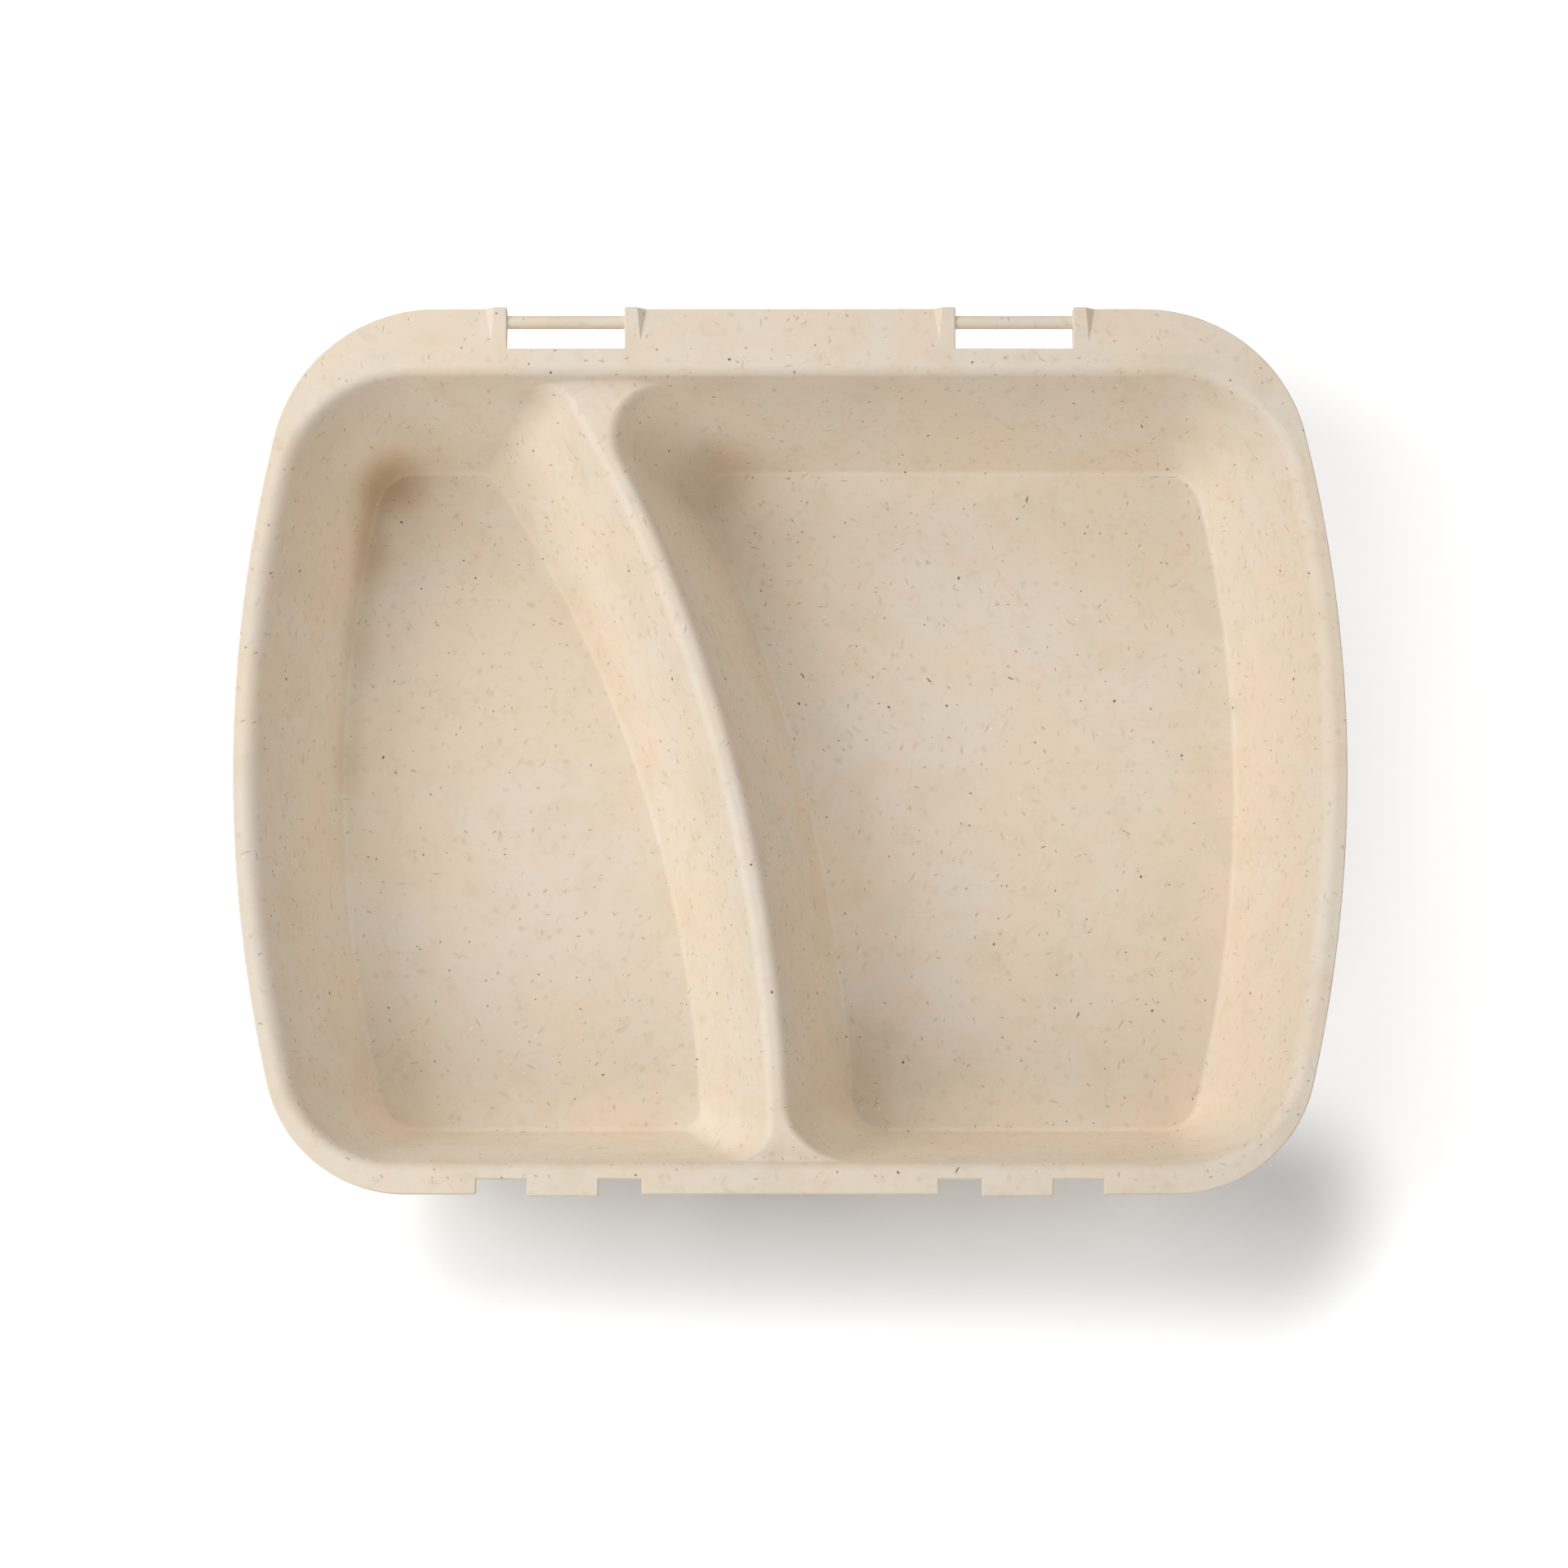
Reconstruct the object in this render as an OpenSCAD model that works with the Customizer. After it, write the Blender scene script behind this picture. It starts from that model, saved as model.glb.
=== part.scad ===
// Base tray of a reusable two-compartment meal container, moulded in one piece.
// The tray stands on z = 0 with its hinge side towards +Y and its latch side towards -Y.

/* [Overall size] */
// Width across the middle of the bowed sides
rim_w = 240; // [225:1:260]
// Depth of the rim from latch side to hinge side, without tabs and ears
rim_d = 193.4; // [180:0.2:210]
// Height of the rim above the table
tray_h = 40; // [34:0.5:48]
// Wall thickness
wall = 2; // [1.6:0.1:2.4]

/* [Rim outline] */
// How far the sides bow out between corner and middle
side_bow = 15.3; // [11:0.1:19]
// Corner radius at the hinge side
back_corner_r = 35.7; // [30:0.1:42]
// Corner radius at the latch side
front_corner_r = 30.4; // [26:0.1:36]

/* [Rim widths] */
// Rim width along the sides, out to the fold of the wall
side_rim = 4.6; // [4:0.1:7]
// Rim width at the hinge side
back_rim = 14.4; // [13.4:0.1:17]
// Rim width at the latch side
front_rim = 6.2; // [5.6:0.1:8]

/* [Walls] */
// Lean of the side walls from upright, in degrees
side_lean = 22; // [16:0.1:26]
// Lean of the hinge-side wall
back_lean = 19.4; // [14:0.1:24]
// Lean of the latch-side wall
front_lean = 15; // [10:0.1:20]
// Rounding between rim and side walls
side_round = 4; // [2:0.1:5]
// Rounding between rim and hinge-side wall
back_round = 2.5; // [1:0.1:4]
// Rounding between rim and latch-side wall
front_round = 2.5; // [1:0.1:3]
// Fillet between walls and floor
floor_round = 3; // [1.5:0.1:5]

/* [Corners of the basin] */
// Radius of the basin corners at the hinge side, at the rim
back_top_r = 28; // [22:0.5:34]
// The same corners at the floor
back_floor_r = 9; // [6:0.5:12]
// Radius of the basin corners at the latch side, at the rim
front_top_r = 25; // [20:0.5:30]
// The same corners at the floor
front_floor_r = 8; // [6:0.5:12]

/* [Divider] */
// Radius of the curve that the divider follows
divider_r = 344; // [300:1:400]
// Radius of the divider's foot line in the small compartment, whose face widens towards the hinge side
left_foot_r = 302; // [290:1:344]
// Place along the latch-side wall where the divider leaves it, from the middle
divider_x = -2.6; // [-20:0.1:15]
// How far the divider's top lies below the rim
divider_drop = 4; // [3:0.1:8]
// Rounding of the divider's top edges
divider_round = 2.5; // [2.2:0.1:4]
// Flat left between the two roundings
divider_flat = 0.6; // [0.4:0.1:4]
// Lean of the divider's face in the small compartment
left_face_lean = 22.9; // [18:0.1:28]
// Lean of its face in the large compartment
right_face_lean = 22.9; // [18:0.1:28]

/* [Corners at the divider] */
// Small compartment, hinge side: radius at the divider's top
left_back_top_r = 10; // [6:0.5:14]
// and at the floor
left_back_floor_r = 5; // [4:0.5:8]
// Small compartment, latch side: radius at the divider's top
left_front_top_r = 9; // [6:0.5:14]
// and at the floor
left_front_floor_r = 5; // [4:0.5:8]
// Large compartment, hinge side: radius at the divider's top
right_back_top_r = 12; // [8:0.5:14]
// and at the floor
right_back_floor_r = 7; // [4:0.5:8]
// Large compartment, latch side: radius at the divider's top
right_front_top_r = 15; // [8:0.5:18]
// and at the floor
right_front_floor_r = 8; // [4:0.5:10]

/* [Hinge bars] */
// Distance of each bar's middle from the middle of the tray
hinge_x = 49.05; // [42:0.05:58]
// Free length of a bar between its ears
bar_len = 25.7; // [18:0.1:32]
// Bar diameter
bar_d = 2.9; // [2.4:0.1:3.2]
// Depth of the open slot, from the rim's edge
slot_depth = 8.9; // [7.2:0.1:9.5]
// Distance of the bar's middle from the rim's edge
bar_inset = 2.85; // [2:0.05:3.2]
// Height of the ears above the rim
ear_h = 1.6; // [1.3:0.1:2.5]
// Width of an ear's crest, at the rim's edge
ear_w = 2.8; // [2:0.1:4]
// Width of the sloped cheek beside the crest
ear_cheek = 2; // [1:0.1:3]
// Length of an ear from the rim's edge to where its top has come down to the rim
ear_len = 7.1; // [6.4:0.1:9]
// Width of an ear at that end, where its cheek runs out in a point
ear_tip_w = 3.5; // [2.4:0.1:5]

/* [Latch tabs] */
// Distance of each tab's middle from the middle of the tray
latch_x = 48.15; // [42:0.05:58]
// Tab width
tab_w = 15.1; // [10:0.1:20]
// Width of the notch on the tab's inner side
inner_notch_w = 9.2; // [6:0.1:12]
// Width of the notch on its outer side
outer_notch_w = 10.8; // [6:0.1:12]
// Depth of the notches
notch_depth = 3.2; // [2:0.1:3.6]
// How far a tab stands out from the rim, which is also the rounding of its corners
tab_proud = 0.4; // [0.2:0.1:1]

/* [Hidden] */
$fn = 64;

// Segments along an outer corner, a side, a corner at the divider and the divider's curve
corner_steps = 8;
side_steps = 9;
inner_steps = 6;
divider_steps = 10;
// Segments round a corner of a latch tab
tab_steps = 3;
// Steps round a fillet in section, as angles from its flat end
fillet_angles = [0, 15, 30, 45, 60, 76];
// Overlap of pieces that are joined or cut
lap = 1;
// Least height of an underside rounding, and least step between two levels
least_round = 0.1;

side_r = (pow(rim_d / 2, 2) + pow(side_bow, 2)) / (2 * side_bow);
side_cx = rim_w / 2 - side_r;
floor_z = wall;
divider_z = tray_h - divider_drop;
back_fold_y = rim_d / 2 - back_rim;
front_fold_y = front_rim - rim_d / 2;
bar_y = rim_d / 2 - bar_inset;
bar_z = tray_h - wall / 2;

// Section of a wall
// Distance from a sharp fold back to where a rounding of radius r begins.
function fold_run(r, lean) = r * (1 - sin(lean)) / cos(lean);

// How far a leaning wall stands in from its fold line at height z, roundings included.
function wall_in(z, top, foot, lean, top_r, foot_r) =
    z > top - top_r * (1 - sin(lean))
        ? sqrt(max(0, pow(top_r, 2) - pow(z - top + top_r, 2))) - fold_run(top_r, lean)
    : z < foot + foot_r * (1 - sin(lean))
        ? tan(lean) * (top - foot) + fold_run(foot_r, lean)
            - sqrt(max(0, pow(foot_r, 2) - pow(foot + foot_r - z, 2)))
    : tan(lean) * (top - z);

// The same for one skin of the wall: 0 is the inside of the tray, 1 its underside.
function skin_in(z, top, lean, round, skin) =
    wall_in(z, top - skin * wall, floor_z - skin * wall, lean,
            max(round - skin * wall, 0), floor_round + skin * wall)
    - skin * fold_run(wall, lean);

// Radius of a corner between two walls, which shrinks as the walls run in.
function corner_r(top_r, floor_r, top, lean_a, in_a, lean_b, in_b) =
    top_r - (top_r - floor_r) * (in_a + in_b) / ((tan(lean_a) + tan(lean_b)) * (top - floor_z));

// Outlines seen from above, each counter-clockwise
function arc(c, r, from, to, steps, skip) =
    [for (i = [skip : steps - skip])
        let (a = from + (to - from) * i / steps)
        c + r * [cos(a), sin(a)]];

function mirrored(points) = [for (i = [len(points) - 1 : -1 : 0]) [-points[i].x, points[i].y]];

// Right-hand side of an outline: corner, bowed side and corner, all tangent.
function right_side(side_in, front_y, back_y, front_r, back_r) =
    let (
        r = side_r - side_in,
        front_c = [side_cx + sqrt(pow(r - front_r, 2) - pow(front_y + front_r, 2)), front_y + front_r],
        back_c = [side_cx + sqrt(pow(r - back_r, 2) - pow(back_y - back_r, 2)), back_y - back_r],
        front_a = atan2(front_c.y, front_c.x - side_cx),
        back_a = atan2(back_c.y, back_c.x - side_cx)
    )
    concat(
        arc(front_c, front_r, -90, front_a, corner_steps, 0),
        arc([side_cx, 0], r, front_a, back_a, side_steps, 1),
        arc(back_c, back_r, back_a, 90, corner_steps, 0)
    );

// Insets of the three outer walls at height z
function side_in(z, skin) = skin_in(z, tray_h, side_lean, side_round, skin);
function back_in(z, skin) = skin_in(z, tray_h, back_lean, back_round, skin);
function front_in(z, skin) = skin_in(z, tray_h, front_lean, front_round, skin);

function basin_side(z, skin) =
    let (
        s = side_in(z, skin),
        b = back_in(z, skin),
        f = front_in(z, skin)
    )
    right_side(
        side_rim + s,
        front_fold_y + f,
        back_fold_y - b,
        corner_r(front_top_r, front_floor_r, tray_h, side_lean, s, front_lean, f),
        corner_r(back_top_r, back_floor_r, tray_h, side_lean, s, back_lean, b)
    );

// Inset of a divider face from the divider's centre line
function face_in(z, lean, skin) =
    divider_flat / 2 + fold_run(divider_round, lean)
    + skin_in(z, divider_z, lean, divider_round, skin);

// The divider's curves all leave the latch-side wall square to it: the centre for radius r.
function curve_c(r) = [divider_x - r, front_fold_y];

// Radius of the small compartment's curve at height z, on the divider's centre line
function left_curve_r(z) =
    divider_r + (left_foot_r - divider_r) * (divider_z - z) / (divider_z - floor_z);

// Centre of a corner at height y that lies at distance d from the curve's centre c.
function curve_corner(c, y, d) = [c.x + sqrt(pow(d, 2) - pow(y - c.y, 2)), y];

function angle_from(c, p) = atan2(p.y - c.y, p.x - c.x);

// Small compartment: it lies inside the divider's curve.
function left_ring(z, skin) =
    let (
        lean = left_face_lean,
        face = face_in(z, lean, skin),
        b = back_in(z, skin),
        f = front_in(z, skin),
        c = curve_c(left_curve_r(z)),
        r = left_curve_r(z) - face,
        front_r = corner_r(left_front_top_r, left_front_floor_r, divider_z, lean, face, front_lean, f),
        back_r = corner_r(left_back_top_r, left_back_floor_r, divider_z, lean, face, back_lean, b),
        front_c = curve_corner(c, front_fold_y + f + front_r, r - front_r),
        back_c = curve_corner(c, back_fold_y - b - back_r, r - back_r),
        front_a = angle_from(c, front_c),
        back_a = angle_from(c, back_c)
    )
    concat(
        mirrored(basin_side(z, skin)),
        arc(front_c, front_r, -90, front_a, inner_steps, 0),
        arc(c, r, front_a, back_a, divider_steps, 1),
        arc(back_c, back_r, back_a, 90, inner_steps, 0)
    );

// Large compartment: it lies outside the divider's curve.
function right_ring(z, skin) =
    let (
        lean = right_face_lean,
        face = face_in(z, lean, skin),
        b = back_in(z, skin),
        f = front_in(z, skin),
        c = curve_c(divider_r),
        r = divider_r + face,
        front_r = corner_r(right_front_top_r, right_front_floor_r, divider_z, lean, face, front_lean, f),
        back_r = corner_r(right_back_top_r, right_back_floor_r, divider_z, lean, face, back_lean, b),
        front_c = curve_corner(c, front_fold_y + f + front_r, r + front_r),
        back_c = curve_corner(c, back_fold_y - b - back_r, r + back_r),
        front_a = angle_from(c, front_c),
        back_a = angle_from(c, back_c)
    )
    concat(
        basin_side(z, skin),
        arc(back_c, back_r, 90, 180 + back_a, inner_steps, 0),
        arc(c, r, back_a, front_a, divider_steps, 1),
        arc(front_c, front_r, 180 + front_a, 270, inner_steps, 0)
    );

// Heights at which the outlines are taken, from the foot fillet up to a top rounding
function foot_levels(skin) =
    [for (a = fillet_angles) floor_z - skin * wall + (floor_round + skin * wall) * (1 - cos(a))];
function top_levels(top, round, skin) =
    [for (i = [len(fillet_angles) - 1 : -1 : 0])
        top - skin * wall - max(round - skin * wall, least_round) * (1 - cos(fillet_angles[i]))];
function pocket_levels(skin) = concat(foot_levels(skin), top_levels(divider_z, divider_round, skin));
function basin_levels(skin) =
    let (low = divider_z - skin * wall)
    concat([low], [for (z = top_levels(tray_h, side_round, skin)) if (z > low + least_round) z]);

function lifted(ring, z) = [for (p = ring) [p.x, p.y, z]];

// Solid through a stack of outlines that all have the same number of points.
module loft(rings) {
    n = len(rings[0]);
    points = [for (ring = rings) each ring];
    sides = [
        for (i = [0 : len(rings) - 2])
            for (j = [0 : n - 1])
                let (
                    a = i * n + j,
                    b = i * n + (j + 1) % n
                )
                each [[a, a + n, b + n], [a, b + n, b]]
    ];
    bottom = [for (j = [0 : n - 1]) j];
    top = [for (j = [n - 1 : -1 : 0]) (len(rings) - 1) * n + j];
    polyhedron(points = points, faces = concat([bottom], sides, [top]));
}

// Each loft ends in a straight collar, so that it reaches into the one above it.
module left_pocket(skin) {
    levels = pocket_levels(skin);
    top = divider_z - skin * wall;
    loft(concat(
        [for (z = levels) lifted(left_ring(z, skin), z)],
        [lifted(left_ring(top, skin), top + lap)]
    ));
}

module right_pocket(skin) {
    levels = pocket_levels(skin);
    top = divider_z - skin * wall;
    loft(concat(
        [for (z = levels) lifted(right_ring(z, skin), z)],
        [lifted(right_ring(top, skin), top + lap)]
    ));
}

module basin(skin) {
    top = tray_h - skin * wall;
    loft(concat(
        [
            for (z = basin_levels(skin))
                let (half = basin_side(z, skin))
                lifted(concat(half, mirrored(half)), z)
        ],
        [lifted(concat(basin_side(top, skin), mirrored(basin_side(top, skin))), top + lap)]
    ));
}

module skin_solid(skin) {
    basin(skin);
    left_pocket(skin);
    right_pocket(skin);
}

module rim_plate() {
    half = right_side(0, -rim_d / 2, rim_d / 2, front_corner_r, back_corner_r);
    translate([0, 0, tray_h - wall])
        linear_extrude(wall)
            polygon(concat(half, mirrored(half)));
}

// Ear beside a hinge slot, with its slot face on x = 0 and its body towards +X. Its top falls
// from the crest at the rim's edge to the rim, and its cheek is a triangle.
module ear() {
    back_y = rim_d / 2;
    tip_y = back_y - ear_len;
    foot = [[0, tip_y], [ear_tip_w, tip_y], [ear_w + ear_cheek, back_y], [0, back_y]];
    polyhedron(
        points = concat(
            lifted(foot, tray_h - wall),
            lifted(foot, tray_h),
            lifted([[ear_w, back_y], [0, back_y]], tray_h + ear_h)
        ),
        faces = [
            [0, 1, 2, 3],
            [0, 4, 5, 1],
            [1, 5, 6, 2],
            [2, 6, 8, 9, 7, 3],
            [3, 7, 9, 4, 0],
            [4, 9, 8, 5],
            [5, 8, 6]
        ]
    );
}

module hinge_ears() {
    translate([bar_len / 2, 0, 0]) ear();
    mirror([1, 0, 0]) translate([bar_len / 2, 0, 0]) ear();
}

module hinge_slot() {
    translate([-bar_len / 2, rim_d / 2 - slot_depth, tray_h - wall - lap])
        cube([bar_len, slot_depth + lap, wall + ear_h + 2 * lap]);
}

// Round bar that the lid clips over; its ends are rooted in the ears.
module hinge_bar() {
    translate([-bar_len / 2 - lap, bar_y, bar_z])
        rotate([0, 90, 0])
            cylinder(d = bar_d, h = bar_len + 2 * lap);
}

// Notches on both sides of a tab. Outwards from the middle of the tray is +X here.
module latch_notches() {
    low_z = tray_h - wall - lap;
    depth = notch_depth + lap;
    translate([-tab_w / 2 - inner_notch_w, -rim_d / 2 - lap, low_z])
        cube([inner_notch_w, depth, wall + 2 * lap]);
    translate([tab_w / 2, -rim_d / 2 - lap, low_z])
        cube([outer_notch_w, depth, wall + 2 * lap]);
}

// Part of a tab that stands out from the rim
module latch_tab() {
    edge_y = -rim_d / 2;
    corner_x = tab_w / 2 - tab_proud;
    translate([0, 0, tray_h - wall])
        linear_extrude(wall)
            polygon(concat(
                [[tab_w / 2, edge_y + lap], [-tab_w / 2, edge_y + lap]],
                arc([-corner_x, edge_y], tab_proud, 180, 270, tab_steps, 0),
                arc([corner_x, edge_y], tab_proud, 270, 360, tab_steps, 0)
            ));
}

module both_sides(x) {
    translate([x, 0, 0]) children();
    mirror([1, 0, 0]) translate([x, 0, 0]) children();
}

module tray() {
    color("bisque") {
        difference() {
            union() {
                rim_plate();
                skin_solid(1);
                both_sides(hinge_x) hinge_ears();
                both_sides(latch_x) latch_tab();
            }
            skin_solid(0);
            both_sides(hinge_x) hinge_slot();
            both_sides(latch_x) latch_notches();
        }
        both_sides(hinge_x) hinge_bar();
    }
}

tray();
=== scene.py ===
"""Looks of a reusable meal container's base tray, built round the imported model.

The tray is one moulding. Its mesh is made here from the same outlines and wall sections as
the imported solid, with finer steps and softened edges, and its plastic is speckled with plant
fibres. Lengths are in millimetres until the mesh is finished.
"""

import math

import bmesh
import bpy
from mathutils import Matrix, Vector

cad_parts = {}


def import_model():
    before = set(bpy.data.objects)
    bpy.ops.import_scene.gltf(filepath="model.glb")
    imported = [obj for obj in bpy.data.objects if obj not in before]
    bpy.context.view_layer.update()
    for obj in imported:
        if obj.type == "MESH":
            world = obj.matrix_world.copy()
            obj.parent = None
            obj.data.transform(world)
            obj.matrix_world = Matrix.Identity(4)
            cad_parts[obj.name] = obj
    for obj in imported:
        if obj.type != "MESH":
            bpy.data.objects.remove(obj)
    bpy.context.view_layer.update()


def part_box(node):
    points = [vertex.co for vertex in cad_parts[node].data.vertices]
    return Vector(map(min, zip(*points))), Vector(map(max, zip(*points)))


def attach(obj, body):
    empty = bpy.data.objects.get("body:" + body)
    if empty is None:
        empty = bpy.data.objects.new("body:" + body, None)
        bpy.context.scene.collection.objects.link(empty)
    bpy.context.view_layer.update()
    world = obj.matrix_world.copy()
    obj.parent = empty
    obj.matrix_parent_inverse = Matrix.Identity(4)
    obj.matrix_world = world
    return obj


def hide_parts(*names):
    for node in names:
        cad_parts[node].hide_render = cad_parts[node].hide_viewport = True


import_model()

MM = 0.001

# Overall size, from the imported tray
TAB_PROUD = 0.4
EAR_H = 1.6
tray_low, tray_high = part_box("tray")
RIM_W = (tray_high.x - tray_low.x) / MM
RIM_D = (tray_high.y - tray_low.y) / MM - TAB_PROUD
TRAY_H = tray_high.z / MM - EAR_H
WALL = 2.0

# Rim outline and widths
SIDE_BOW = 15.3
BACK_CORNER_R = 35.7
FRONT_CORNER_R = 30.4
SIDE_RIM = 4.6
BACK_RIM = 14.4
FRONT_RIM = 6.2

# Walls: lean from upright in degrees, rounding at the top
SIDE_LEAN, SIDE_ROUND = 22.0, 4.0
BACK_LEAN, BACK_ROUND = 19.4, 2.5
FRONT_LEAN, FRONT_ROUND = 15.0, 2.5
FLOOR_ROUND = 1.4

# Corners of the basin: radius at the rim and at the floor
BACK_CORNER = (28.0, 9.0)
FRONT_CORNER = (25.0, 8.0)

# Divider
DIVIDER_R = 344.0
LEFT_FOOT_R = 302.0
DIVIDER_X = -2.6
DIVIDER_DROP = 4.0
DIVIDER_ROUND = 2.5
DIVIDER_FLAT = 0.6
LEFT_FACE_LEAN = 22.9
RIGHT_FACE_LEAN = 22.9

# Corners at the divider: radius at its top and at the floor
LEFT_BACK = (10.0, 5.0)
LEFT_FRONT = (9.0, 5.0)
RIGHT_BACK = (12.0, 7.0)
RIGHT_FRONT = (15.0, 8.0)

# Hinge bars and their ears
HINGE_X = 49.05
BAR_LEN = 25.7
BAR_D = 2.9
SLOT_DEPTH = 8.9
BAR_INSET = 2.85
EAR_W = 2.8
EAR_CHEEK = 2.0
EAR_LEN = 7.1
EAR_TIP_W = 3.5

# Latch tabs and notches
LATCH_X = 48.15
TAB_W = 15.1
INNER_NOTCH_W = 9.2
OUTER_NOTCH_W = 10.8
NOTCH_DEPTH = 3.2

# Fineness of the mesh. A fillet of radius FULL_ROUND or more has FILLET_STEPS steps, and it
# runs from level to FILLET_END degrees; one with no radius left is taken as LEAST_ROUND.
CORNER_STEPS = 32
SIDE_STEPS = 48
INNER_STEPS = 22
DIVIDER_STEPS = 72
FILLET_STEPS = 10
FILLET_END = 80.0
FULL_ROUND = 2.0
BAR_STEPS = 48
TAB_STEPS = 6
LEAST_ROUND = 0.1

# How far a cutting or joining solid reaches past what it cuts or joins
LAP = 1.0

# Fillet where the divider's top meets the walls, and how quickly it fades at its ends
LAND_FILLET = 1.5
LAND_FADE = 7.0
LAND_STEPS = 24
LAND_LEVELS = 9

# Softened edges: radius and segments
EDGE_SOFT = 0.35
EDGE_SEGMENTS = 3

# Least folds in degrees that are rounded, that are kept in the mesh, and that stay a crease
SHARP_FOLD = 42.0
FLAT_FOLD = 0.02
CREASE_FOLD = 33.0

# Points closer than MERGE are one, and an edge may lie NEAR below the rim's underside
MERGE = 0.0005
NEAR = 0.01

# Camera, placed as the photograph's proportions ask
CAMERA_LENS = 96.16
CAMERA_SENSOR = 36.0
CAMERA_TILT = 9.4
CAMERA_PLACE = (-0.0013, -0.1558, 0.9279)

# Studio: soft lamps as (name, azimuth, elevation, power), all at one distance and of one size
LAMPS = [
    ("key", 173, 60, 1.75),
    ("key_low", 173, 35, 5.0),
    ("back", 90, 35, 2.6),
    ("right", 0, 35, 1.8),
    ("front", 270, 35, 2.9),
]
LAMP_DISTANCE = 0.9
LAMP_SIZE = 0.6
LAMP_TARGET = (0.0, 0.0, 0.02)
FILL = 0.03

# Floor: size, depth below the tray and colour, and a painted glow that only the camera sees added
# to its colour, which pales the tray's shadow, as (from, to, low, high) in metres: least round a
# short line in front of the tray, where the shadow lies, and more far away
FLOOR_SIZE = 30
FLOOR_DROP = 0.0001
FLOOR_ROUGH = 0.9
FLOOR_WHITE = 0.9
SHADE_X, SHADE_Y, SHADE_REACH = 0.020, -0.101, 0.085
PAINTED_GLOW_NEAR = (0.008, 0.036, 0.03, 0.42)
PAINTED_GLOW_AWAY = (0.25, 0.8, 0.0, 0.5)

SIDE_R = ((RIM_D / 2) ** 2 + SIDE_BOW**2) / (2 * SIDE_BOW)
SIDE_CX = RIM_W / 2 - SIDE_R
DIVIDER_Z = TRAY_H - DIVIDER_DROP
BACK_FOLD_Y = RIM_D / 2 - BACK_RIM
FRONT_FOLD_Y = FRONT_RIM - RIM_D / 2
BAR_Y = RIM_D / 2 - BAR_INSET
BAR_Z = TRAY_H - WALL / 2


# Section of a wall

def sin_d(angle):
    return math.sin(math.radians(angle))


def cos_d(angle):
    return math.cos(math.radians(angle))


def tan_d(angle):
    return math.tan(math.radians(angle))


def fold_run(r, lean):
    """Distance from a sharp fold back to where a rounding of radius r begins."""
    return r * (1 - sin_d(lean)) / cos_d(lean)


def wall_in(z, top, foot, lean, top_r, foot_r):
    """How far a leaning wall stands in from its fold line at height z."""
    if z > top - top_r * (1 - sin_d(lean)):
        return math.sqrt(max(0.0, top_r**2 - (z - top + top_r) ** 2)) - fold_run(top_r, lean)
    if z < foot + foot_r * (1 - sin_d(lean)):
        curve = math.sqrt(max(0.0, foot_r**2 - (foot + foot_r - z) ** 2))
        return tan_d(lean) * (top - foot) + fold_run(foot_r, lean) - curve
    return tan_d(lean) * (top - z)


def skin_in(z, top, lean, rounding, skin):
    """The same for one skin of the wall: 0 is the inside of the tray, 1 its underside."""
    down = skin * WALL
    inset = wall_in(z, top - down, WALL - down, lean, max(rounding - down, 0), FLOOR_ROUND + down)
    return inset - skin * fold_run(WALL, lean)


def corner_r(corner, top, lean_a, in_a, lean_b, in_b):
    """Radius of a corner between two walls, which shrinks as the walls run in."""
    top_r, floor_r = corner
    run = (tan_d(lean_a) + tan_d(lean_b)) * (top - WALL)
    return top_r - (top_r - floor_r) * (in_a + in_b) / run


# Outlines seen from above, each counter-clockwise

def arc(c, r, start, end, steps, skip=0):
    turn = [start + (end - start) * i / steps for i in range(skip, steps - skip + 1)]
    return [(c[0] + r * cos_d(a), c[1] + r * sin_d(a)) for a in turn]


def mirrored(points):
    return [(-x, y) for x, y in reversed(points)]


def right_side(inset, front_y, back_y, front_r, back_r):
    """Right-hand side of an outline: corner, bowed side and corner, all tangent."""
    r = SIDE_R - inset
    middle = (SIDE_CX, 0.0)
    front_c = curve_corner(middle, front_y + front_r, r - front_r)
    back_c = curve_corner(middle, back_y - back_r, r - back_r)
    front_a = angle_from(middle, front_c)
    back_a = angle_from(middle, back_c)
    return (
        arc(front_c, front_r, -90, front_a, CORNER_STEPS)
        + arc(middle, r, front_a, back_a, SIDE_STEPS, 1)
        + arc(back_c, back_r, back_a, 90, CORNER_STEPS)
    )


def side_in(z, skin):
    return skin_in(z, TRAY_H, SIDE_LEAN, SIDE_ROUND, skin)


def back_in(z, skin):
    return skin_in(z, TRAY_H, BACK_LEAN, BACK_ROUND, skin)


def front_in(z, skin):
    return skin_in(z, TRAY_H, FRONT_LEAN, FRONT_ROUND, skin)


def basin_side(z, skin):
    s, b, f = side_in(z, skin), back_in(z, skin), front_in(z, skin)
    return right_side(
        SIDE_RIM + s,
        FRONT_FOLD_Y + f,
        BACK_FOLD_Y - b,
        corner_r(FRONT_CORNER, TRAY_H, SIDE_LEAN, s, FRONT_LEAN, f),
        corner_r(BACK_CORNER, TRAY_H, SIDE_LEAN, s, BACK_LEAN, b),
    )


def face_in(z, lean, skin):
    """Inset of a divider face from the divider's centre line."""
    flat = DIVIDER_FLAT / 2 + fold_run(DIVIDER_ROUND, lean)
    return flat + skin_in(z, DIVIDER_Z, lean, DIVIDER_ROUND, skin)


def curve_c(r):
    """Centre of a divider curve of radius r: all leave the latch-side wall square to it."""
    return (DIVIDER_X - r, FRONT_FOLD_Y)


def left_curve_r(z):
    return DIVIDER_R + (LEFT_FOOT_R - DIVIDER_R) * (DIVIDER_Z - z) / (DIVIDER_Z - WALL)


def curve_corner(c, y, d):
    return (c[0] + math.sqrt(d**2 - (y - c[1]) ** 2), y)


def angle_from(c, p):
    return math.degrees(math.atan2(p[1] - c[1], p[0] - c[0]))


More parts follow.
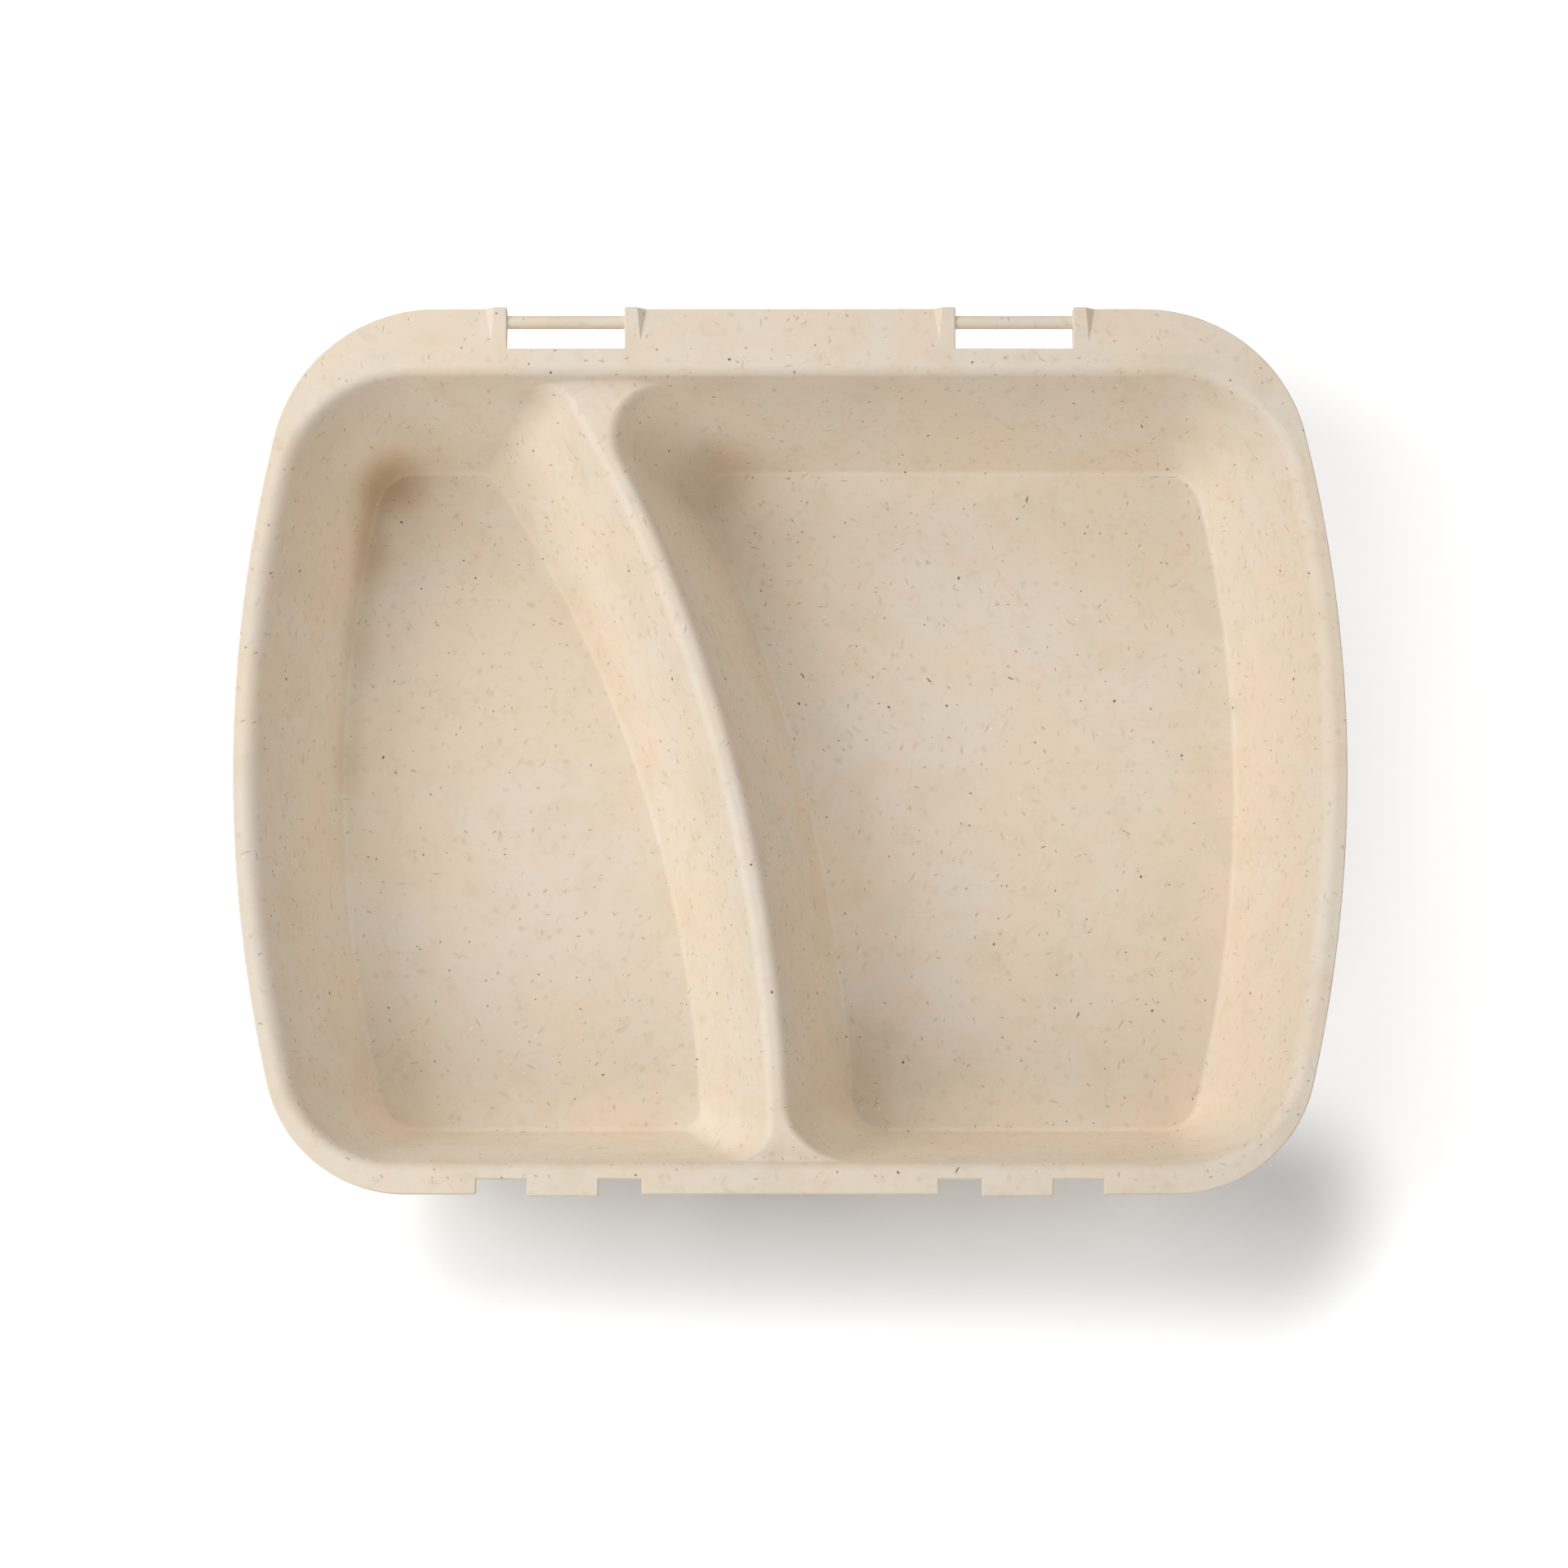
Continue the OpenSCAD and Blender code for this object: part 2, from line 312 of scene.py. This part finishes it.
def left_ring(z, skin):
    """Small compartment: it lies inside the divider's curve."""
    face = face_in(z, LEFT_FACE_LEAN, skin)
    b, f = back_in(z, skin), front_in(z, skin)
    c = curve_c(left_curve_r(z))
    r = left_curve_r(z) - face
    front_r = corner_r(LEFT_FRONT, DIVIDER_Z, LEFT_FACE_LEAN, face, FRONT_LEAN, f)
    back_r = corner_r(LEFT_BACK, DIVIDER_Z, LEFT_FACE_LEAN, face, BACK_LEAN, b)
    front_c = curve_corner(c, FRONT_FOLD_Y + f + front_r, r - front_r)
    back_c = curve_corner(c, BACK_FOLD_Y - b - back_r, r - back_r)
    front_a, back_a = angle_from(c, front_c), angle_from(c, back_c)
    return (
        mirrored(basin_side(z, skin))
        + arc(front_c, front_r, -90, front_a, INNER_STEPS)
        + arc(c, r, front_a, back_a, DIVIDER_STEPS, 1)
        + arc(back_c, back_r, back_a, 90, INNER_STEPS)
    )


def right_ring(z, skin):
    """Large compartment: it lies outside the divider's curve."""
    face = face_in(z, RIGHT_FACE_LEAN, skin)
    b, f = back_in(z, skin), front_in(z, skin)
    c = curve_c(DIVIDER_R)
    r = DIVIDER_R + face
    front_r = corner_r(RIGHT_FRONT, DIVIDER_Z, RIGHT_FACE_LEAN, face, FRONT_LEAN, f)
    back_r = corner_r(RIGHT_BACK, DIVIDER_Z, RIGHT_FACE_LEAN, face, BACK_LEAN, b)
    front_c = curve_corner(c, FRONT_FOLD_Y + f + front_r, r + front_r)
    back_c = curve_corner(c, BACK_FOLD_Y - b - back_r, r + back_r)
    front_a, back_a = angle_from(c, front_c), angle_from(c, back_c)
    return (
        basin_side(z, skin)
        + arc(back_c, back_r, 90, 180 + back_a, INNER_STEPS)
        + arc(c, r, back_a, front_a, DIVIDER_STEPS, 1)
        + arc(front_c, front_r, 180 + front_a, 270, INNER_STEPS)
    )


# Levels at which the outlines are taken

def fillet_angles(r):
    steps = max(2, round(FILLET_STEPS * min(1.0, r / FULL_ROUND)))
    return [FILLET_END * i / steps for i in range(steps + 1)]


def foot_levels(skin):
    r = FLOOR_ROUND + skin * WALL
    return [WALL - skin * WALL + r * (1 - cos_d(a)) for a in fillet_angles(r)]


def top_levels(top, rounding, skin):
    r = max(rounding - skin * WALL, LEAST_ROUND)
    return [top - skin * WALL - r * (1 - cos_d(a)) for a in reversed(fillet_angles(r))]


def land_curve(rise):
    """How far the fillet at the divider's top stands out from the wall, at a height above it."""
    return LAND_FILLET - math.sqrt(max(0.0, LAND_FILLET**2 - (LAND_FILLET - rise) ** 2))


def land_line(start, end, y, towards, rise):
    """Straight stretch of the basin's outline along the divider's end, with its fillet."""
    span = abs(end - start)
    points = []
    for i in range(1, LAND_STEPS):
        share = i / LAND_STEPS
        reach = min(share, 1 - share) * span / LAND_FADE
        fade = min(1.0, reach)
        fade = fade * fade * (3 - 2 * fade)
        out = land_curve(rise) * fade if rise < LAND_FILLET else 0.0
        points.append((start + (end - start) * share, y + towards * out))
    return points


def basin_ring(z, skin, ends):
    """Outline of the basin above the divider. ends are where the divider's land meets the walls."""
    half = basin_side(z, skin)
    rise = z - DIVIDER_Z if skin == 0 else LAND_FILLET
    back_y, front_y = half[-1][1], half[0][1]
    back = land_line(ends["back"][1], ends["back"][0], back_y, -1, rise)
    front = land_line(ends["front"][0], ends["front"][1], front_y, 1, rise)
    return half + back + mirrored(half) + front


# Solids

def new_object(name, points, faces):
    mesh = bpy.data.meshes.new(name)
    mesh.from_pydata(points, [], faces)
    mesh.validate()
    made = bpy.data.objects.new(name, mesh)
    bpy.context.scene.collection.objects.link(made)
    return made


def loft(name, rings):
    """Closed solid through outlines (points, height) that all have the same number of points."""
    n = len(rings[0][0])
    points = [(x, y, z) for outline, z in rings for x, y in outline]
    faces = [tuple(reversed(range(n)))]
    for i in range(len(rings) - 1):
        for j in range(n):
            a, b = i * n + j, i * n + (j + 1) % n
            faces.append((a, b, b + n, a + n))
    last = (len(rings) - 1) * n
    faces.append(tuple(range(last, last + n)))
    return new_object(name, points, faces)


def prism(name, outline, place):
    """Solid between two copies of an outline; place turns (u, v, side) into a point."""
    n = len(outline)
    points = [place(u, v, 0) for u, v in outline] + [place(u, v, 1) for u, v in outline]
    faces = [tuple(reversed(range(n))), tuple(range(n, 2 * n))]
    faces += [(j, (j + 1) % n, (j + 1) % n + n, j + n) for j in range(n)]
    made = new_object(name, points, faces)
    tidy_normals(made)
    return made


def block(name, low, high):
    outline = [(low[0], low[1]), (high[0], low[1]), (high[0], high[1]), (low[0], high[1])]
    return prism(name, outline, lambda u, v, side: (u, v, (low[2], high[2])[side]))


def tidy_normals(made):
    work = bmesh.new()
    work.from_mesh(made.data)
    bmesh.ops.recalc_face_normals(work, faces=work.faces)
    work.to_mesh(made.data)
    work.free()


def combine(base, tools, operation):
    """Joins the tools to the base, or cuts them from it, and uses them up."""
    for tool in tools:
        step = base.modifiers.new("combine", "BOOLEAN")
        step.solver = "MANIFOLD"
        step.operation = operation
        step.object = tool
        graph = bpy.context.evaluated_depsgraph_get()
        mesh = bpy.data.meshes.new_from_object(base.evaluated_get(graph))
        base.modifiers.clear()
        base.data = mesh
        bpy.data.objects.remove(tool)
    return base


def pocket(name, ring, skin):
    levels = foot_levels(skin) + top_levels(DIVIDER_Z, DIVIDER_ROUND, skin)
    top = DIVIDER_Z - skin * WALL
    return loft(name, [(ring(z, skin), z) for z in levels] + [(ring(top, skin), top + LAP)])


def land_ends():
    """Where the land's straight ends begin and stop along the walls, from small to large side."""
    n = CORNER_STEPS * 2 + SIDE_STEPS + 1
    left, right = left_ring(DIVIDER_Z, 0), right_ring(DIVIDER_Z, 0)
    return {"front": (left[n][0], right[-1][0]), "back": (left[-1][0], right[n][0])}


def basin(name, skin):
    ends = land_ends()
    low = DIVIDER_Z - skin * WALL
    top = TRAY_H - skin * WALL
    levels = [low] + [z for z in top_levels(TRAY_H, SIDE_ROUND, skin) if z > low + LEAST_ROUND]
    if skin == 0:
        steps = [90 * (i + 1) / LAND_LEVELS for i in range(LAND_LEVELS)]
        fillet = [low + LAND_FILLET * (1 - cos_d(a)) for a in steps]
        levels = [low] + fillet + [z for z in levels if z > low + LAND_FILLET + LEAST_ROUND]
    rings = [(basin_ring(z, skin, ends), z) for z in levels]
    return loft(name, rings + [(basin_ring(top, skin, ends), top + LAP)])


def skin_solids(skin):
    left, right = pocket("left", left_ring, skin), pocket("right", right_ring, skin)
    return [basin("basin", skin), left, right]


def rim_plate():
    half = right_side(0, -RIM_D / 2, RIM_D / 2, FRONT_CORNER_R, BACK_CORNER_R)
    outline = half + mirrored(half)
    return prism("plate", outline, lambda u, v, side: (u, v, TRAY_H - WALL * (1 - side)))


def ear(x, way):
    """Ear beside a hinge slot: its slot face is at x, and its body lies towards way.

    Its top falls from the crest at the rim's edge to the rim, and its cheek is a triangle.
    """
    back_y = RIM_D / 2
    tip_y = back_y - EAR_LEN
    foot = [(0, tip_y), (EAR_TIP_W, tip_y), (EAR_W + EAR_CHEEK, back_y), (0, back_y)]
    crest = [(EAR_W, back_y), (0, back_y)]
    points = []
    for outline, z in ((foot, TRAY_H - WALL), (foot, TRAY_H), (crest, TRAY_H + EAR_H)):
        points += [(x + way * u, v, z) for u, v in outline]
    faces = [
        (0, 1, 2, 3), (0, 4, 5, 1), (1, 5, 6, 2), (2, 6, 8, 9, 7, 3),
        (3, 7, 9, 4, 0), (4, 9, 8, 5), (5, 8, 6),
    ]
    made = new_object("ear", points, faces)
    tidy_normals(made)
    return made


def ears():
    made = []
    for side in (-1, 1):
        for way in (-1, 1):
            made.append(ear(side * HINGE_X + way * BAR_LEN / 2, way))
    return made


def hinge_slots():
    low_y, high_y = RIM_D / 2 - SLOT_DEPTH, RIM_D / 2 + LAP
    low_z, high_z = TRAY_H - WALL - LAP, TRAY_H + EAR_H + LAP
    return [
        block("slot", (x - BAR_LEN / 2, low_y, low_z), (x + BAR_LEN / 2, high_y, high_z))
        for x in (-HINGE_X, HINGE_X)
    ]


def hinge_bars():
    circle = arc((0, 0), BAR_D / 2, 0, 360, BAR_STEPS)[:-1]
    reach = BAR_LEN / 2 + LAP

    def bar(x):
        return prism("bar", circle, lambda u, v, s: (x + reach * (2 * s - 1), BAR_Y + u, BAR_Z + v))

    return [bar(x) for x in (-HINGE_X, HINGE_X)]


def latch_notches():
    low_y, high_y = -RIM_D / 2 - LAP, -RIM_D / 2 + NOTCH_DEPTH
    low_z, high_z = TRAY_H - WALL - LAP, TRAY_H + LAP
    inner = (-TAB_W / 2 - INNER_NOTCH_W, INNER_NOTCH_W)
    outer = (TAB_W / 2, OUTER_NOTCH_W)
    made = []
    for side in (-1, 1):
        for start, width in (inner, outer):
            ends = sorted((side * (LATCH_X + start), side * (LATCH_X + start + width)))
            made.append(block("notch", (ends[0], low_y, low_z), (ends[1], high_y, high_z)))
    return made


def latch_tabs():
    edge_y = -RIM_D / 2
    corner_x = TAB_W / 2 - TAB_PROUD
    outline = [(TAB_W / 2, edge_y + LAP), (-TAB_W / 2, edge_y + LAP)]
    outline += arc((-corner_x, edge_y), TAB_PROUD, 180, 270, TAB_STEPS)
    outline += arc((corner_x, edge_y), TAB_PROUD, 270, 360, TAB_STEPS)

    def tab(x):
        return prism("tab", outline, lambda u, v, s: (x + u, v, TRAY_H - WALL * (1 - s)))

    return [tab(x) for x in (-LATCH_X, LATCH_X)]


def soften_edges(made):
    """Rounds the moulding's sharp outer edges at the rim, its slots, ears, notches and tabs."""
    work = bmesh.new()
    work.from_mesh(made.data)
    bmesh.ops.remove_doubles(work, verts=work.verts, dist=MERGE)
    bmesh.ops.dissolve_limit(
        work, angle_limit=math.radians(FLAT_FOLD), use_dissolve_boundaries=False,
        verts=work.verts, edges=work.edges, delimit=set(),
    )
    sharp = []
    for edge in work.edges:
        middle = (edge.verts[0].co + edge.verts[1].co) / 2
        fold = edge.calc_face_angle_signed()
        if middle.z > TRAY_H - WALL - NEAR and fold > math.radians(SHARP_FOLD):
            sharp.append(edge)
    bmesh.ops.bevel(
        work, geom=sharp, offset=EDGE_SOFT, offset_type="OFFSET", segments=EDGE_SEGMENTS,
        profile=0.5, affect="EDGES", clamp_overlap=False, loop_slide=True,
    )
    work.to_mesh(made.data)
    work.free()


def tray_piece():
    made = combine(rim_plate(), skin_solids(1) + ears() + latch_tabs(), "UNION")
    combine(made, skin_solids(0) + hinge_slots() + latch_notches(), "DIFFERENCE")
    combine(made, hinge_bars(), "UNION")
    made.name = "moulded_tray"
    soften_edges(made)
    made.data.transform(Matrix.Scale(MM, 4))
    for face in made.data.polygons:
        face.use_smooth = True
    made.data.set_sharp_from_angle(angle=math.radians(CREASE_FOLD))
    even = made.modifiers.new("even normals", "WEIGHTED_NORMAL")
    even.weight = 50
    even.keep_sharp = True
    return made


# Finish: colours of the plastic and of what shows in it
PALE = (0.765, 0.680, 0.565, 1)
PEACH = (0.785, 0.662, 0.518, 1)
OLIVE = (0.705, 0.605, 0.455, 1)
TAN = (0.650, 0.520, 0.380, 1)
SHADE = (0.460, 0.320, 0.170, 1)
ROSE = (0.790, 0.620, 0.480, 1)
SPOT = (0.540, 0.440, 0.330, 1)
FIBRE = (0.400, 0.280, 0.170, 1)
SPECK = (0.220, 0.130, 0.070, 1)
DARK = (0.075, 0.045, 0.025, 1)
FLECK = (0.920, 0.870, 0.790, 1)

# Painted shade: darker colour along the floors' edges, most in a corner, as (place, reach each way,
# strength)
PAINTED_SHADES = [
    ((-91, 66, 5), (13, 11, 16), 0.75),
    ((-95, 52, 3), (7, 18, 10), 0.50),
    ((-97, 30, 3), (6, 20, 9), 0.35),
    ((-98.5, 5, 3), (5, 22, 8), 0.25),
    ((-20, 68, 5), (18, 14, 18), 0.32),
    ((17, -70, 2), (9, 26, 10), 0.22),
]

# How far a painted shade stays full, as a share of its reach
PAINTED_SHADE_CORE = 0.1

# Clouds as (colour, strength, size, low, high, detail, twist)
CLOUDS = [
    (PEACH, 1.00, 34.0, 0.36, 0.64, 2.0, 0.6),
    (OLIVE, 0.55, 11.0, 0.48, 0.74, 3.0, 0.4),
    (ROSE, 0.45, 8.5, 0.50, 0.72, 2.0, 0.8),
    (TAN, 0.35, 3.2, 0.50, 0.78, 4.0, 1.2),
]

# Marks as (colour, strength, cell, half length, half width, share of cells, softness, bend)
MARKS = [
    (SPOT, 0.34, 5.3, 1.10, 0.75, 0.50, 0.95, 0.0),
    (SPOT, 0.30, 9.1, 1.90, 0.55, 0.45, 0.95, 0.1),
    (FLECK, 0.55, 8.5, 0.45, 0.16, 0.35, 0.50, 0.3),
    (FIBRE, 0.50, 8.3, 1.30, 0.17, 0.30, 0.60, 0.12),
    (FIBRE, 0.60, 4.7, 0.62, 0.23, 0.32, 0.60, 0.3),
    (SPECK, 0.70, 6.7, 0.32, 0.24, 0.36, 0.55, 0.0),
    (DARK, 0.75, 19.3, 0.85, 0.20, 0.26, 0.45, 0.2),
    (DARK, 0.85, 13.7, 0.38, 0.28, 0.30, 0.45, 0.3),
]
MARK_SPREAD, MARK_LEAST = 0.8, 0.5

# A surface counts as level above this share of upward facing. The marks on side and end walls
# are taken from other parts of the same pattern.
LEVEL_FACING = 0.7
SIDE_PATCH, END_PATCH = 400.0, 900.0

# Relief of the surface: sizes of grain and waves, their contrast, and how much they show
GRAIN_SIZE, WAVE_SIZE = 0.5, 4.5
RELIEF_LOW, RELIEF_HIGH, RELIEF_DETAIL = 0.3, 0.7, 2.0
GRAIN_SHARE = 0.25
BUMP_STRENGTH = 0.6
BUMP_DEPTH = 0.06
ROUGH_SPREAD, ROUGH_LEAST = 0.10, 0.56
SPECULAR = 0.4

# The Mix node's sockets for vectors and for colours: two inputs and the output
VECTOR_SOCKETS = (4, 5, 1)
COLOUR_SOCKETS = (6, 7, 2)


class Nodes:
    """Short way to add shader nodes and link them."""

    def __init__(self, tree):
        self.tree = tree

    def add(self, kind, **values):
        made = self.tree.nodes.new(kind)
        for name, value in values.items():
            if name in made.inputs:
                self.feed(made.inputs[name], value)
            else:
                setattr(made, name, value)
        return made

    def feed(self, socket, value):
        if isinstance(value, bpy.types.NodeSocket):
            self.tree.links.new(value, socket)
        else:
            socket.default_value = value

    def math(self, operation, *values):
        made = self.tree.nodes.new("ShaderNodeMath")
        made.operation = operation
        for socket, value in zip(made.inputs, values):
            self.feed(socket, value)
        return made.outputs[0]

    def vector(self, operation, a, b):
        made = self.add("ShaderNodeVectorMath", operation=operation)
        self.feed(made.inputs[0], a)
        self.feed(made.inputs[1], b)
        return made.outputs[0]

    def mix(self, kind, sockets, factor, a, b):
        made = self.tree.nodes.new("ShaderNodeMix")
        made.data_type = kind
        self.feed(made.inputs[0], factor)
        self.feed(made.inputs[sockets[0]], a)
        self.feed(made.inputs[sockets[1]], b)
        return made.outputs[sockets[2]]

    def rise(self, place, reach):
        """Smooth rise with the length of a vector, as (from, to, low, high)."""
        away = self.add("ShaderNodeVectorMath", operation="LENGTH", Vector=place)
        level = self.add(
            "ShaderNodeMapRange", interpolation_type="SMOOTHSTEP", Value=away.outputs["Value"],
        )
        for name, value in zip(("From Min", "From Max", "To Min", "To Max"), reach):
            level.inputs[name].default_value = value
        return level.outputs[0]

    def mix_vectors(self, factor, a, b):
        return self.mix("VECTOR", VECTOR_SOCKETS, factor, a, b)

    def mix_colours(self, factor, a, b):
        return self.mix("RGBA", COLOUR_SOCKETS, factor, a, b)


def surface_place(nodes):
    """Coordinates in millimetres that lie flat on the surface, by the way it faces."""
    spot = nodes.add("ShaderNodeTexCoord")
    place = nodes.add("ShaderNodeVectorMath", operation="SCALE", Vector=spot.outputs["Object"])
    place.inputs["Scale"].default_value = 1 / MM
    along = nodes.add("ShaderNodeSeparateXYZ", Vector=place.outputs[0])
    facing = nodes.add("ShaderNodeVectorMath", operation="ABSOLUTE", Vector=spot.outputs["Normal"])
    face = nodes.add("ShaderNodeSeparateXYZ", Vector=facing.outputs[0])
    is_wall = nodes.math("LESS_THAN", face.outputs["Z"], LEVEL_FACING)
    is_side = nodes.math("GREATER_THAN", face.outputs["X"], face.outputs["Y"])
    x, y, z = (along.outputs[k] for k in "XYZ")
    level = nodes.add("ShaderNodeCombineXYZ", X=x, Y=y)
    side = nodes.add("ShaderNodeCombineXYZ", X=nodes.math("ADD", y, SIDE_PATCH), Y=z)
    end = nodes.add("ShaderNodeCombineXYZ", X=nodes.math("ADD", x, END_PATCH), Y=z)
    wall = nodes.mix_vectors(is_side, end.outputs[0], side.outputs[0])
    return place.outputs[0], nodes.mix_vectors(is_wall, level.outputs[0], wall)


def marks(nodes, place, cell, half_length, half_width, share, soft, bend):
    """Mask of short marks, at most one to a cell, each turned and sized at random."""
    spread = nodes.add(
        "ShaderNodeTexVoronoi", voronoi_dimensions="2D", Vector=place, Scale=1 / cell,
    )
    off = nodes.vector("SUBTRACT", place, spread.outputs["Position"])
    chance = nodes.add("ShaderNodeSeparateColor", Color=spread.outputs["Color"])
    turned = nodes.add("ShaderNodeVectorRotate", rotation_type="Z_AXIS", Vector=off)
    nodes.feed(turned.inputs["Angle"], nodes.math("MULTIPLY", chance.outputs[0], math.tau))
    parts = nodes.add("ShaderNodeSeparateXYZ", Vector=turned.outputs[0])
    along, across = parts.outputs["X"], parts.outputs["Y"]
    if bend:
        bow = nodes.math("MULTIPLY", nodes.math("POWER", along, 2.0), bend)
        across = nodes.math("ADD", across, bow)
    along = nodes.math("DIVIDE", along, half_length)
    across = nodes.math("DIVIDE", across, half_width)
    span = nodes.math("MULTIPLY_ADD", along, along, nodes.math("MULTIPLY", across, across))
    size = nodes.math("MULTIPLY_ADD", chance.outputs[2], MARK_SPREAD, MARK_LEAST)
    reach = nodes.math("DIVIDE", nodes.math("SQRT", span), size)
    edge = nodes.add("ShaderNodeMapRange", interpolation_type="SMOOTHSTEP", Value=reach)
    edge.inputs["From Min"].default_value = 1.0
    edge.inputs["From Max"].default_value = 1.0 - soft
    is_there = nodes.math("LESS_THAN", chance.outputs[1], share)
    return nodes.math("MULTIPLY", edge.outputs[0], is_there)


def cloud(nodes, place, size, low, high, detail, twist):
    """Noise with features of about that size in millimetres, stretched between low and high."""
    noise = nodes.add(
        "ShaderNodeTexNoise", Vector=place, Scale=1 / size, Detail=detail, Distortion=twist,
    )
    level = nodes.add(
        "ShaderNodeMapRange", interpolation_type="SMOOTHSTEP", Value=noise.outputs["Fac"],
    )
    level.inputs["From Min"].default_value = low
    level.inputs["From Max"].default_value = high
    return level.outputs[0]


def painted_shade_mask(nodes, place, middle, reach, amount):
    """Mask of painted shade: an ellipsoid round a point, strongest in its core and gone at its
    reach.
    """
    share = nodes.vector("DIVIDE", nodes.vector("SUBTRACT", place, middle), reach)
    return nodes.rise(share, (PAINTED_SHADE_CORE, 1.0, amount, 0.0))


def fibre_plastic():
    """Matte beige plastic with warm clouds, tan spots, plant fibres and dark specks, and painted
    shade along the floors' edges, most in a corner.
    """
    made = bpy.data.materials.new("fibre_plastic")
    made.use_nodes = True
    nodes = Nodes(made.node_tree)
    shader = made.node_tree.nodes["Principled BSDF"]
    place, flat = surface_place(nodes)

    colour = PALE
    for tint, amount, *shape in CLOUDS:
        mask = cloud(nodes, place, *shape)
        colour = nodes.mix_colours(nodes.math("MULTIPLY", mask, amount), colour, tint)
    # Painted shade: darker colour along the floors' edges, most in a corner
    for middle, reach, amount in PAINTED_SHADES:
        colour = nodes.mix_colours(painted_shade_mask(nodes, place, middle, reach, amount), colour, SHADE)
    for tint, amount, *shape in MARKS:
        mask = marks(nodes, flat, *shape)
        colour = nodes.mix_colours(nodes.math("MULTIPLY", mask, amount), colour, tint)
    nodes.feed(shader.inputs["Base Color"], colour)

    grain = cloud(nodes, place, GRAIN_SIZE, RELIEF_LOW, RELIEF_HIGH, RELIEF_DETAIL, 0.0)
    wave = cloud(nodes, place, WAVE_SIZE, RELIEF_LOW, RELIEF_HIGH, RELIEF_DETAIL, 0.0)
    rough = nodes.math("MULTIPLY_ADD", grain, ROUGH_SPREAD, ROUGH_LEAST)
    nodes.feed(shader.inputs["Roughness"], rough)
    shader.inputs["Specular IOR Level"].default_value = SPECULAR
    height = nodes.math("MULTIPLY_ADD", grain, GRAIN_SHARE, wave)
    bump = nodes.add("ShaderNodeBump", Height=height, Strength=BUMP_STRENGTH)
    bump.inputs["Distance"].default_value = BUMP_DEPTH * MM
    nodes.feed(shader.inputs["Normal"], bump.outputs[0])
    return made


# Studio

def lamp(name, azimuth, elevation, power):
    way = Vector((
        cos_d(azimuth) * cos_d(elevation), sin_d(azimuth) * cos_d(elevation), sin_d(elevation),
    ))
    light = bpy.data.lights.new(name, "AREA")
    light.shape = "DISK"
    light.size = LAMP_SIZE
    light.energy = power
    made = bpy.data.objects.new(name, light)
    made.location = Vector(LAMP_TARGET) + way * LAMP_DISTANCE
    made.rotation_euler = way.to_track_quat("Z", "Y").to_euler()
    bpy.context.scene.collection.objects.link(made)


def floor():
    bpy.ops.mesh.primitive_plane_add(size=FLOOR_SIZE, location=(0, 0, -FLOOR_DROP))
    made = bpy.context.object
    made.name = "floor"
    paint = bpy.data.materials.new("floor_white")
    paint.use_nodes = True
    nodes = Nodes(paint.node_tree)
    shader = paint.node_tree.nodes["Principled BSDF"]
    shader.inputs["Base Color"].default_value = (FLOOR_WHITE, FLOOR_WHITE, FLOOR_WHITE, 1)
    shader.inputs["Roughness"].default_value = FLOOR_ROUGH
    # Painted light: a glow that only the camera sees, least in a short band in front of the tray
    # where its shadow shows, which pales the shadow elsewhere
    spot = nodes.add("ShaderNodeTexCoord")
    place = nodes.add("ShaderNodeSeparateXYZ", Vector=spot.outputs["Object"])
    aside = nodes.math("ABSOLUTE", nodes.math("SUBTRACT", place.outputs["X"], SHADE_X))
    past = nodes.math("MAXIMUM", nodes.math("SUBTRACT", aside, SHADE_REACH), 0.0)
    across = nodes.math("SUBTRACT", place.outputs["Y"], SHADE_Y)
    near = nodes.add("ShaderNodeCombineXYZ", X=past, Y=across)
    around = nodes.rise(near.outputs[0], PAINTED_GLOW_NEAR)
    painted_glow = nodes.math("ADD", around, nodes.rise(spot.outputs["Object"], PAINTED_GLOW_AWAY))
    ray = nodes.add("ShaderNodeLightPath")
    painted_glow = nodes.math("MULTIPLY", ray.outputs["Is Camera Ray"], painted_glow)
    shader.inputs["Emission Color"].default_value = (1, 1, 1, 1)
    nodes.feed(shader.inputs["Emission Strength"], painted_glow)
    made.data.materials.append(paint)


def world(strength):
    made = bpy.data.worlds.new("studio")
    bpy.context.scene.world = made
    made.use_nodes = True
    nodes = Nodes(made.node_tree)
    background = made.node_tree.nodes["Background"]
    ray = nodes.add("ShaderNodeLightPath")
    seen = nodes.math("MAXIMUM", ray.outputs["Is Camera Ray"], ray.outputs["Is Glossy Ray"])
    level = nodes.add("ShaderNodeMapRange", Value=seen)
    level.inputs["To Min"].default_value = strength
    level.inputs["To Max"].default_value = 1.0
    nodes.feed(background.inputs["Strength"], level.outputs[0])


def camera():
    data = bpy.data.cameras.new("camera")
    data.lens = CAMERA_LENS
    data.sensor_width = CAMERA_SENSOR
    made = bpy.data.objects.new("camera", data)
    made.location = CAMERA_PLACE
    made.rotation_euler = (math.radians(CAMERA_TILT), 0, 0)
    bpy.context.scene.collection.objects.link(made)
    bpy.context.scene.camera = made


bpy.context.scene.view_settings.view_transform = "Standard"
camera()
world(FILL)
floor()
for settings in LAMPS:
    lamp(*settings)
tray = tray_piece()
tray.data.materials.clear()
tray.data.materials.append(fibre_plastic())
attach(tray, "root")
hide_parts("tray")
